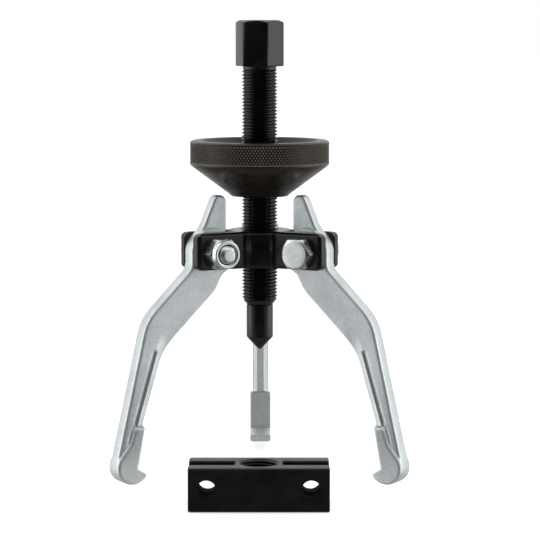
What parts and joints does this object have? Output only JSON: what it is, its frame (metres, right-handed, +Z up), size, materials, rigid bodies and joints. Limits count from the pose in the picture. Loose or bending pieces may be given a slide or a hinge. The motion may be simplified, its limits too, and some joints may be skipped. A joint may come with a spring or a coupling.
{
  "type": "gear puller",
  "caption": "Puller with a hex-headed forcing screw, a slotted yoke, hooked jaws on bolts, a knurled cone nut that spreads the jaw tails, and a loose slotted crossbar.",
  "frame": {"origin": "on the standing surface, under the middle of the footprint of the puller and its loose crossbar; the screw's axis is the vertical line at y = 9.3 mm", "axes": "+Z up along the forcing screw, -Y towards the loose crossbar, which is the side seen in the picture; one jaw points along +Y"},
  "size_m": [0.132, 0.1654, 0.2012],
  "materials": {
    "black_oxide": "satin black oxide on steel",
    "phosphated_steel": "dark satin phosphate on turned steel, knurled rim",
    "forged_zinc": "zinc plate on forged steel, slightly mottled",
    "bright_zinc": "bright zinc plate",
    "locking_ring": "dark nylon"
  },
  "bodies": {
    "puller": {"yoke": "black_oxide", "pivot_bolt_left": "bright_zinc", "lock_nut_left": "bright_zinc", "nut_insert_left": "locking_ring", "pivot_bolt_right": "bright_zinc", "lock_nut_right": "bright_zinc", "nut_insert_right": "locking_ring", "pivot_bolt_back": "bright_zinc", "lock_nut_back": "bright_zinc", "nut_insert_back": "locking_ring"},
    "left_jaw": {"jaw_left": "forged_zinc"},
    "right_jaw": {"jaw_right": "forged_zinc"},
    "back_jaw": {"jaw_back": "forged_zinc"},
    "cone": {"cone_nut": "phosphated_steel"},
    "tip": {"centre_point": "black_oxide", "tip_retaining_ring": "bright_zinc"},
    "screw": {"forcing_screw": "black_oxide"},
    "spare_bar": {"crossbar": "black_oxide"}
  },
  "joints": [
    {"name": "cone_travel", "type": "slide", "parent": "puller", "child": "cone", "axis": [0, 0, -1], "range_m": [-0.008, 0.0125]},
    {"name": "jaw_left_swing", "type": "hinge", "parent": "puller", "child": "left_jaw", "pos_m": [-0.02208, -0.00345, 0.0996], "axis": [0.5, -0.866, 0], "range_deg": [-19.5, 30.5]},
    {"name": "jaw_right_swing", "type": "hinge", "parent": "puller", "child": "right_jaw", "pos_m": [0.02208, -0.00345, 0.0996], "axis": [0.5, 0.866, 0], "range_deg": [-19.5, 30.5]},
    {"name": "jaw_back_swing", "type": "hinge", "parent": "puller", "child": "back_jaw", "pos_m": [0, 0.0348, 0.0996], "axis": [-1, 0, 0], "range_deg": [-19.5, 30.5]},
    {"name": "screw_feed", "type": "slide", "parent": "puller", "child": "tip", "axis": [0, 0, -1], "range_m": [-0.014, 0.022]},
    {"name": "screw_turn", "type": "hinge", "parent": "tip", "child": "screw", "pos_m": [0, 0.0093, 0.19], "axis": [0, 0, -1], "range_deg": [-3365, 5285]},
    {"name": "crossbar_lift", "type": "slide", "parent": "puller", "child": "spare_bar", "axis": [0, 0, 1], "range_m": [0, 0.1]}
  ],
  "couplings": [
    {"joint": "jaw_left_swing", "follows": "cone_travel", "rad_per_m": 41.888},
    {"joint": "jaw_right_swing", "follows": "cone_travel", "rad_per_m": 41.888},
    {"joint": "jaw_back_swing", "follows": "cone_travel", "rad_per_m": 41.888},
    {"joint": "screw_turn", "follows": "screw_feed", "rad_per_m": 4188.8}
  ]
}
